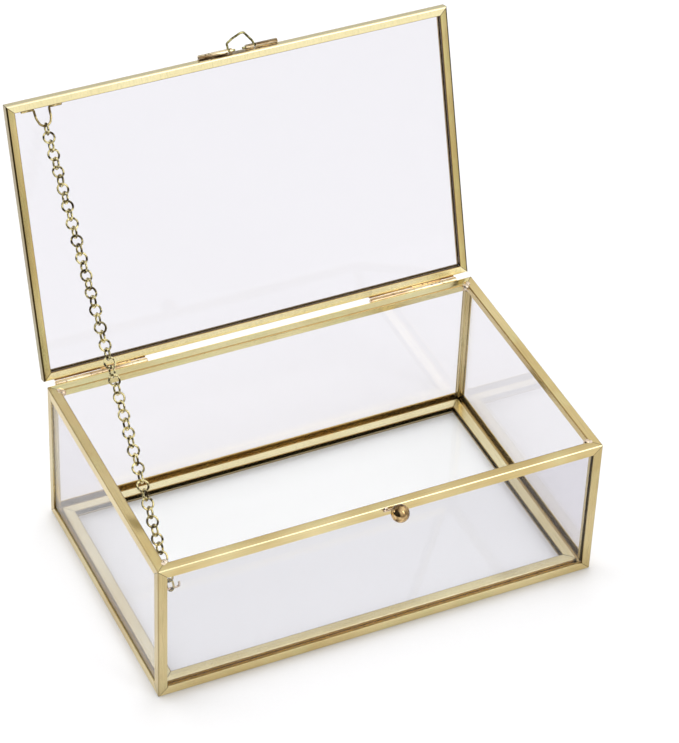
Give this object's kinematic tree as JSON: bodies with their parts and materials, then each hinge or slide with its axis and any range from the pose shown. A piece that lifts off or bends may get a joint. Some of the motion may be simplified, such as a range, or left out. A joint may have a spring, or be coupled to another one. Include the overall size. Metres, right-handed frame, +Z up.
{
  "type": "card box",
  "caption": "Glass card box framed in folded brass strip, with a hinged glass lid on a stay chain, a wire loop clasp and a ball knob.",
  "frame": {"origin": "middle of the underside of the front floor strip", "axes": "+X to the right seen from the front, -Y to the front where the knob is, +Z up"},
  "size_m": [0.24, 0.2168, 0.2316],
  "materials": {
    "brass": "satin, brightened by hand along the bends",
    "pale_brass": "satin, pale",
    "bronze": "polished, antique",
    "copper_brass": "satin, reddened by heat",
    "olive_wire": "dull drawn wire",
    "solder": "rounded, shiny, brass toned",
    "glass": "clear, polished"
  },
  "bodies": {
    "case": {"rim_rail_front": "brass", "rim_rail_back": "brass", "rim_rail_left": "brass", "rim_rail_right": "brass", "corner_post_front_left": "brass", "corner_post_front_right": "brass", "corner_post_back_left": "brass", "corner_post_back_right": "brass", "base_rail_front": "brass", "base_rail_back": "brass", "base_rail_left": "brass", "base_rail_right": "brass", "floor_strip_front": "pale_brass", "floor_strip_back": "pale_brass", "floor_strip_left": "pale_brass", "floor_strip_right": "pale_brass", "glass_front": "glass", "glass_back": "glass", "glass_left": "glass", "glass_right": "glass", "glass_floor": "glass", "rim_corner_solder": "solder", "knob_ball": "bronze", "knob_stem": "solder", "chain_hook_case": "solder", "hinge_left_case_leaf": "copper_brass", "hinge_right_case_leaf": "copper_brass", "hinge_left_pin": "copper_brass", "hinge_right_pin": "copper_brass"},
    "lid": {"lid_rail_front": "pale_brass", "lid_rail_back": "pale_brass", "lid_rail_left": "pale_brass", "lid_rail_right": "pale_brass", "glass_lid": "glass", "hinge_left_lid_leaf": "copper_brass", "hinge_right_lid_leaf": "copper_brass", "clasp_plate": "brass", "clasp_tube_left": "brass", "clasp_tube_right": "brass", "chain_bow_lid": "brass"},
    "loop": {"clasp_loop": "olive_wire"},
    "chain_low": {"chain_run_low": "brass"},
    "chain_low_middle": {"chain_run_low_middle": "brass"},
    "chain_high_middle": {"chain_run_high_middle": "brass"},
    "chain_high": {"chain_run_high": "brass"}
  },
  "joints": [
    {"name": "lid_hinge", "type": "hinge", "parent": "case", "child": "lid", "pos_m": [0, 0.1415, 0.0828], "axis": [1, 0, 0], "range_deg": [0, 107]},
    {"name": "clasp_loop_pivot", "type": "hinge", "parent": "lid", "child": "loop", "pos_m": [0.00635, 0.18978, 0.22636], "axis": [1, 0, 0], "range_deg": [-70, 120]},
    {"name": "chain_low_hook", "type": "hinge", "parent": "case", "child": "chain_low", "pos_m": [-0.1108, -0.0012, 0.065], "axis": [1, 0, 0], "range_deg": [-120.03, 0]},
    {"name": "chain_low_bend", "type": "hinge", "parent": "chain_low", "child": "chain_low_middle", "pos_m": [-0.10853, 0.04296, 0.10077], "axis": [1, 0, 0], "range_deg": [0, 86.76]},
    {"name": "chain_high_bow", "type": "hinge", "parent": "lid", "child": "chain_high", "pos_m": [-0.1014, 0.18151, 0.21299], "axis": [1, 0, 0], "range_deg": [0, 13.41]},
    {"name": "chain_high_bend", "type": "hinge", "parent": "chain_high", "child": "chain_high_middle", "pos_m": [-0.10354, 0.13992, 0.1793], "axis": [1, 0, 0], "range_deg": [-43.67, 0]}
  ],
  "couplings": [
    {"joint": "chain_low_hook", "follows": "lid_hinge", "ratio": -1.1216},
    {"joint": "chain_low_bend", "follows": "lid_hinge", "ratio": 0.81066},
    {"joint": "chain_high_bow", "follows": "lid_hinge", "ratio": 0.12513},
    {"joint": "chain_high_bend", "follows": "lid_hinge", "ratio": -0.4079}
  ]
}
